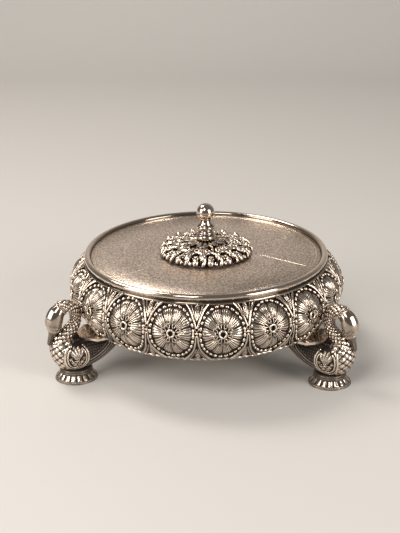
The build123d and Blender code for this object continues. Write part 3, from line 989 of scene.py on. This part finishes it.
def limb(sections, across, along):
    """The point on a limb's skin and the way out of it, from shares round it and along it."""
    reach, height, thick, wide, slope = through(sections, along)
    turn = 2 * pi * across
    slope = radians(slope)
    back = thick * sin(turn)
    off = Vector((-back * sin(slope), wide * cos(turn), back * cos(slope)))
    return Vector((reach, 0, height)) + off, off.normalized() if off.length > 0.01 else Vector((0, 0, -1))


def flank(x, z):
    """How far the body's side stands from its middle plane, at a reach and a height."""
    low_share, high_share = 0.0, 1.0
    for _ in range(18):
        share = (low_share + high_share) / 2
        if through(BODY, share)[0] > x:
            low_share = share
        else:
            high_share = share
    _, wide, low, high = through(BODY, share)
    lean = 2 * (z - (low + high) / 2) / (high - low)
    return wide * max(0.0, 1 - lean * lean) ** 0.5


class DRYFRUIT_OT_swan_legs(bpy.types.Operator):
    """Make the three swan legs: foot, body, wings, neck, collar and head"""

    bl_idname = "dryfruit.swan_legs"
    bl_label = "Swan legs"

    def execute(self, context):
        colours = context.scene.dry_fruit_colours
        self.foot_at = context.scene.dry_fruit_box.leg_radius * 1000
        self.seat = cad_box("right_swan_tail_plate")[0].z
        self.sole = cad_box("right_swan_foot")[1].z
        plumage = oxidised("plumage", colours, 0.16)
        sleek = polished("swan_polish", colours, 0.1, 0.9, 0.46, 0.4)
        pieces = (
            ("body", self.body(), plumage, "oxidised_silver"),
            ("neck", self.neck(), plumage, "oxidised_silver"),
            ("wing_right", self.wing(-1), plumage, "oxidised_silver"),
            ("wing_left", self.wing(1), plumage, "oxidised_silver"),
            ("collar", self.collar(), plumage, "oxidised_silver"),
            ("head", self.head(), sleek, "polished_silver"),
            ("foot", self.foot(), plumage, "polished_silver"),
        )
        for part, bm, metal, slot in pieces:
            for leg, angle in LEGS.items():
                name = f"{leg}_swan_{part}"
                finished(f"{name}_detail", bm, metal, "box", slot, name, turn=angle, keep=True)
            bm.free()
        return {"FINISHED"}

    def body(self):
        """Breast in large scales, tail dark with a few long ribs under a field of dots."""
        bm = new_mesh()

        def skin(across, along):
            reach, wide, low, high = through(BODY, along)
            turn = 2 * pi * across
            level = (low + high) / 2 + (high - low) / 2 * sin(turn)
            if reach < SADDLE:
                level = min(level, self.seat - 0.1)
            return Vector((reach, wide * cos(turn), max(level, self.sole - 0.6))), 0.0

        def relief(at):
            breast = smooth_step(124.0, 129.0, at.x)
            turn = 17.0 * atan2(at.y, at.x - 120.0)
            height, wear = scale(turn / 6.0 + at.z / 5.6, turn / 6.0 - at.z / 5.6)
            underside = min(through(BODY, (BODY[1][0] - at.x) / (BODY[1][0] - BODY[-2][0]))[2], 31.0)
            depth = at.z - underside - 0.4
            share = depth / 3.1 % 1.0
            rib = exp(-(((share - 0.5) / 0.17) ** 2))
            ribbed = smooth_step(14.5, 13.0, depth) if abs(at.y) > 1.0 else 1.0
            spots = (0.5 + 0.5 * sin(2.9 * at.x)) * (0.5 + 0.5 * sin(2.9 * at.z))
            tail = ribbed * 0.75 * rib + (1 - ribbed) * 0.4 * spots
            shade = ribbed * (0.12 + 0.75 * rib) + (1 - ribbed) * 0.5 * spots
            plain = smooth_step(self.seat - 1.0, self.seat - 0.3, at.z)
            plain *= smooth_step(SADDLE + 2, SADDLE - 1, at.x)
            plain = max(plain, smooth_step(self.sole + 0.8, self.sole, at.z))
            height = (breast * (0.85 * height - 0.2) + (1 - breast) * (tail - 0.3)) * (1 - plain)
            return height, breast * wear + (1 - breast) * shade * (1 - 0.5 * plain)

        sculpt(bm, 128, 110, skin, weld=True)
        carve(bm, relief)
        return bm

    def neck(self):
        """Lozenge scales all round the neck."""
        bm = new_mesh()

        def place(across, along):
            point, out = limb(NECK, across, along)
            height, wear = scale(across * SCALES + along * 12, across * SCALES - along * 12)
            blend = smooth_step(1.0, 0.97, along)
            return point + out * (0.85 * height - 0.35) * blend, wear * blend

        sculpt(bm, 100, 150, place, weld=True)
        return bm

    def wing(self, hand):
        """A wing on the body's side: leaves fanned over a flowered field, inside a double border."""
        bm = new_mesh()

        def at(turn, share):
            return WING_AT + Vector((WING_WIDE * share * cos(turn), WING_LONG * share * sin(turn), 0))

        def swell(across, along):
            return at(2 * pi * across, along) + UP * (1.3 - 1.9 * along ** 9), 0.1

        sculpt(bm, 64, 16, swell, weld=True)
        for share, thick, lift in ((0.95, 0.85, 0.9), (0.76, 0.6, 1.3)):
            border = [at(radians(122 + 296 * step / 40), share) + UP * lift for step in range(41)]
            rope(bm, border, tapered(thick, 0.05), 8)
        for lean, top, width in ((-5.2, 7.6, 4.6), (5.2, 7.6, 4.6), (-1.8, 9.6, 4.4), (1.8, 9.6, 4.4)):
            tip = WING_AT + Vector((0.2 * lean, -1.6, 1.1))
            sculpt(bm, 8, 16, leaf_blade(WING_AT + Vector((lean, top, 1.3)), tip, width, 1.1))
        for x, y, size in (
            (0, -2.6, 1.9), (-3.7, -3.4, 1.6), (3.7, -3.4, 1.6), (-1.9, -5.9, 1.6), (1.9, -5.9, 1.6),
            (0, -8.3, 1.3), (-5.6, -0.6, 1.3), (5.6, -0.6, 1.3),
        ):
            flower(bm, WING_AT + Vector((x, y, 1.5)), size)
        for vert in bm.verts:
            x, z, out = vert.co
            vert.co = Vector((x, hand * (flank(x, z) + 0.75 * out), z))
        face_outwards(bm)
        return bm

    def collar(self):
        """A flat band with two edges and a row of dots."""
        profile = [(5.2, -1.7), (6.3, -1.7), (6.5, -1.45), (6.4, -1.1), (5.9, -0.9), (5.9, 0.9), (6.4, 1.1)]
        profile += [(6.5, 1.45), (6.3, 1.7), (5.2, 1.7), (5.2, -1.7)]
        bm = turned(profile, 48, lambda at: 1.0 if abs(at.z) > 1.0 else 0.35)
        for turn in turns(COLLAR_DOTS):
            rub(bm, bead(bm, spoke(turn, 6.0), (0.55, 0.55, 0.55), 1.0, 1), 1.0)
        lean = UP.rotation_difference(COLLAR_WAY).to_matrix().to_4x4()
        bmesh.ops.transform(bm, matrix=Matrix.Translation(COLLAR_AT) @ lean, verts=bm.verts)
        return bm

    def head(self):
        """A smooth head with a ridge along its crown, eyes, and a darker bill with its mouth's line."""
        bm = new_mesh()

        def place(across, along):
            point, out = limb(HEAD, across, along)
            wide = through(HEAD, along)[3]
            crown = abs(across - 0.25) * 2 * pi * wide
            ridge = exp(-(((crown - 1.5) / 0.45) ** 2)) - 0.6 * exp(-((crown / 0.6) ** 2))
            ridge *= smooth_step(0.0, 0.1, along) * smooth_step(0.55, 0.42, along)
            side = min(abs(across - 0.04), abs(across - 0.46))
            mouth = exp(-((side / 0.02) ** 2)) * smooth_step(0.52, 0.6, along)
            brow = exp(-(((along - 0.48) / 0.014) ** 2))
            bill = smooth_step(0.48, 0.52, along)
            cheek = smooth_step(0.26, 0.32, along) * smooth_step(0.47, 0.43, along)
            cheek *= smooth_step(0.16, 0.1, side)
            vein = 0.5 + 0.5 * sin(70 * along + 9 * sin(50 * across))
            # Painted shade: the underside of the head is darkened.
            under = smooth_step(0.62, 0.75, across) * smooth_step(0.98, 0.85, across)
            wear = (1 - 0.6 * cheek * (1 - vein)) * (1 - 0.65 * bill) * (1 - 0.6 * under)
            wear -= 0.3 * mouth + 0.3 * max(0.0, -ridge)
            height = 0.5 * ridge - 0.35 * mouth + 0.45 * brow + 0.25 * cheek * vein
            return point + out * height, max(wear, 0.0)

        sculpt(bm, 64, 90, place, weld=True)
        reach, off, level = EYE_AT
        for hand in (-1, 1):
            bead(bm, (reach, hand * (off - 0.05), level), (1.0, 0.8, 1.0), 1.0)
            for turn in turns(14):
                spot = (reach + 1.8 * cos(turn), hand * off, level + 1.8 * sin(turn))
                bead(bm, spot, (0.36, 0.36, 0.36), 0.6, 1)
        return bm

    def foot(self):
        """A round foot: waist ring, a flange of leaf tongues and a beaded edge."""
        bm = new_mesh()
        middle = Vector((self.foot_at, 0, 0))
        line = [(0.5, 0.0), (16.4, 0.0), (17.1, 0.6), (17.1, 1.8), (16.3, 2.4), (15.2, 3.4), (13.9, 4.9)]
        line += [(12.9, 6.2), (12.8, 6.7), (13.5, 7.1), (13.6, 7.7), (12.9, 8.2), (12.2, 8.6)]
        line += [(12.2, 9.4), (12.6, 9.95), (0.5, 9.95)]

        def place(across, along):
            radius, level = through(line, along)
            turn = 2 * pi * across
            tongue = abs(cos(TONGUES / 2 * turn))
            zone = smooth_step(2.2, 3.0, level) * smooth_step(6.3, 5.6, level) * smooth_step(10, 12, radius)
            wear = 0.45 * (1 - zone) + zone * smooth_step(0.3, 0.7, tongue)
            wear *= 1 - 0.8 * exp(-(((level - 6.7) / 0.5) ** 2)) if radius > 10 else 0.3
            radius += 0.9 * zone * (tongue ** 0.6 - 0.6)
            level += 0.6 * zone * (tongue ** 0.6 - 0.6)
            return middle + spoke(turn, radius, level), wear

        sculpt(bm, 144, 60, place, weld=True)
        for turn in turns(FOOT_BEADS):
            rub(bm, bead(bm, middle + spoke(turn, 16.7, 1.2), (0.75, 0.75, 0.85), 1.0, 1), 0.75)
        return bm


class DRYFRUIT_OT_plain_pieces(bpy.types.Operator):
    """Give the CAD pieces that stay their metals"""

    bl_idname = "dryfruit.plain_pieces"
    bl_label = "Plain pieces"

    def execute(self, context):
        colours = context.scene.dry_fruit_colours
        silver = brushed("divider_silver", colours.plain, 0.34)
        steel = brushed("fastener_steel", colours.steel, 0.38)
        plate = polished("plate_polish", colours, 0.26, 0.4, painted_reflection_share=0.8, with_wear_and_shade=False)
        under = brushed("underside_silver", dimmed(colours.plain, 0.75), 0.45)
        wanted = {"divider_long": silver, "divider_cross": silver, "lid_ring": silver, "base_plate": under}
        wanted.update({"leg_screws": steel, "knob_washer": steel, "knob_nut": steel})
        wanted.update({f"{leg}_swan_tail_plate": plate for leg in LEGS})
        for node, metal in wanted.items():
            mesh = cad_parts[node].data
            mesh.materials.clear()
            mesh.materials.append(metal)
        return {"FINISHED"}


# Studio

# The camera's angles in degrees, and its distance and aim in metres
CAMERA_TURN = 3.8
CAMERA_LIFT = 22.22
CAMERA_ROLL = 0.55
CAMERA_FAR = 0.99186
AIM = Vector((0, 0, 0.060))
# In pixels of the photograph: its height, the lens, and where the aim lies from its middle
PHOTO_HIGH = 533.0
FOCAL_PIXELS = 1152.2
AIM_RIGHT = 6.2
AIM_DOWN = 17.64
SKY_TINT = (0.86, 0.84, 0.82, 1.0)
SKY_STRENGTH = 0.25
# The floor in metres: its near edge, where its bend starts, the bend's radius, its top and half its width
FLOOR_NEAR = -2.6
FLOOR_BACK = 1.1
FLOOR_BEND = 0.5
FLOOR_TOP = 2.4
FLOOR_WIDE = 3.0
# Place in metres, width, power and tint of each lamp
LAMPS = {
    "key": ((-0.75, 0.45, 1.4), 0.5, 14.0, (1.0, 0.94, 0.87)),
    "left": ((-1.15, -0.7, 0.6), 0.65, 13.0, (1.0, 0.955, 0.90)),
    "right": ((1.2, -0.8, 0.55), 0.65, 15.0, (1.0, 0.965, 0.92)),
    "top": ((-0.3, -0.95, 1.25), 0.4, 7.0, (1.0, 0.97, 0.93)),
}


class DRYFRUIT_OT_stage(bpy.types.Operator):
    """Set the floor, the soft lamps and the camera"""

    bl_idname = "dryfruit.stage"
    bl_label = "Studio"

    def execute(self, context):
        self.floor(context.scene.dry_fruit_colours)
        world = bpy.data.worlds.new("studio")
        context.scene.world = world
        world.use_nodes = True
        sky = world.node_tree.nodes["Background"]
        sky.inputs["Color"].default_value = SKY_TINT
        sky.inputs["Strength"].default_value = SKY_STRENGTH

        for name, settings in LAMPS.items():
            self.lamp(name, *settings)

        lift, turn = radians(CAMERA_LIFT), radians(CAMERA_TURN)
        data = bpy.data.cameras.new("camera")
        data.lens = FOCAL_PIXELS * data.sensor_width / PHOTO_HIGH
        data.shift_x = -AIM_RIGHT / PHOTO_HIGH
        data.shift_y = AIM_DOWN / PHOTO_HIGH
        camera = bpy.data.objects.new("camera", data)
        context.scene.collection.objects.link(camera)
        off = Vector((sin(turn) * cos(lift), -cos(turn) * cos(lift), sin(lift))) * CAMERA_FAR
        camera.location = AIM + off
        aim = (-off).to_track_quat("-Z", "Y").to_matrix()
        camera.rotation_euler = (aim @ Matrix.Rotation(radians(-CAMERA_ROLL), 3, "Z")).to_euler()
        context.scene.camera = camera
        context.scene.view_settings.view_transform = "Standard"
        return {"FINISHED"}

    def floor(self, colours):
        """A pale floor that bends up behind the box."""
        sweep = [(FLOOR_NEAR, 0.0), (FLOOR_BACK, 0.0)]
        for step in range(1, 11):
            turn = radians(9 * step)
            sweep.append((FLOOR_BACK + FLOOR_BEND * sin(turn), FLOOR_BEND - FLOOR_BEND * cos(turn)))
        sweep.append((FLOOR_BACK + FLOOR_BEND, FLOOR_TOP))
        bm = bmesh.new()
        line = [bm.verts.new((-FLOOR_WIDE, y, z)) for y, z in sweep]
        edges = [bm.edges.new(pair) for pair in zip(line, line[1:])]
        grown = bmesh.ops.extrude_edge_only(bm, edges=edges)["geom"]
        across = [item for item in grown if isinstance(item, bmesh.types.BMVert)]
        bmesh.ops.translate(bm, vec=(2 * FLOOR_WIDE, 0, 0), verts=across)
        face_outwards(bm)
        mesh = bpy.data.meshes.new("floor")
        bm.to_mesh(mesh)
        bm.free()
        mesh.shade_smooth()
        finish = Finish("pale_floor")
        finish.feed("Base Color", finish.mixed(finish.noise(4.0), colours.floor, dimmed(colours.floor, 0.97)))
        finish.feed("Roughness", 0.6)
        mesh.materials.append(finish.material)
        floor = bpy.data.objects.new("floor", mesh)
        bpy.context.scene.collection.objects.link(floor)

    def lamp(self, name, place, size, power, tint):
        """A soft lamp, half as high again as wide, that faces the box."""
        light = bpy.data.lights.new(name, "AREA")
        light.shape = "RECTANGLE"
        light.size = size
        light.size_y = 1.5 * size
        light.energy = power
        light.color = tint
        lamp = bpy.data.objects.new(name, light)
        lamp.location = place
        lamp.rotation_euler = (AIM - Vector(place)).to_track_quat("-Z", "Y").to_euler()
        bpy.context.scene.collection.objects.link(lamp)


class DRYFRUIT_PT_sidebar(bpy.types.Panel):
    """Sizes, colours and builders of the dry fruit box"""

    bl_idname = "DRYFRUIT_PT_sidebar"
    bl_label = "Dry Fruit Box"
    bl_space_type = "VIEW_3D"
    bl_region_type = "UI"
    bl_category = "Dry Fruit Box"

    def draw(self, context):
        for group in (context.scene.dry_fruit_box, context.scene.dry_fruit_colours):
            for name in type(group).__annotations__:
                self.layout.prop(group, name)
        for builder in BUILDERS:
            self.layout.operator(builder.bl_idname)


BUILDERS = (
    DRYFRUIT_OT_embossed_wall,
    DRYFRUIT_OT_rim,
    DRYFRUIT_OT_inner_pan,
    DRYFRUIT_OT_lid,
    DRYFRUIT_OT_filigree,
    DRYFRUIT_OT_knob,
    DRYFRUIT_OT_swan_legs,
    DRYFRUIT_OT_plain_pieces,
    DRYFRUIT_OT_stage,
)
CLASSES = (DryFruitBoxSizes, DryFruitBoxColours, *BUILDERS, DRYFRUIT_PT_sidebar)


def register():
    """Register the classes and hang both property groups on the scene."""
    for cls in CLASSES:
        bpy.utils.register_class(cls)
    bpy.types.Scene.dry_fruit_box = bpy.props.PointerProperty(type=DryFruitBoxSizes)
    bpy.types.Scene.dry_fruit_colours = bpy.props.PointerProperty(type=DryFruitBoxColours)


def unregister():
    """Take the property groups and the classes away again."""
    del bpy.types.Scene.dry_fruit_box
    del bpy.types.Scene.dry_fruit_colours
    for cls in reversed(CLASSES):
        bpy.utils.unregister_class(cls)


def main():
    """Build every piece."""
    register()
    for builder in BUILDERS:
        group, name = builder.bl_idname.split(".")
        getattr(getattr(bpy.ops, group), name)()


if __name__ == "__main__":
    main()
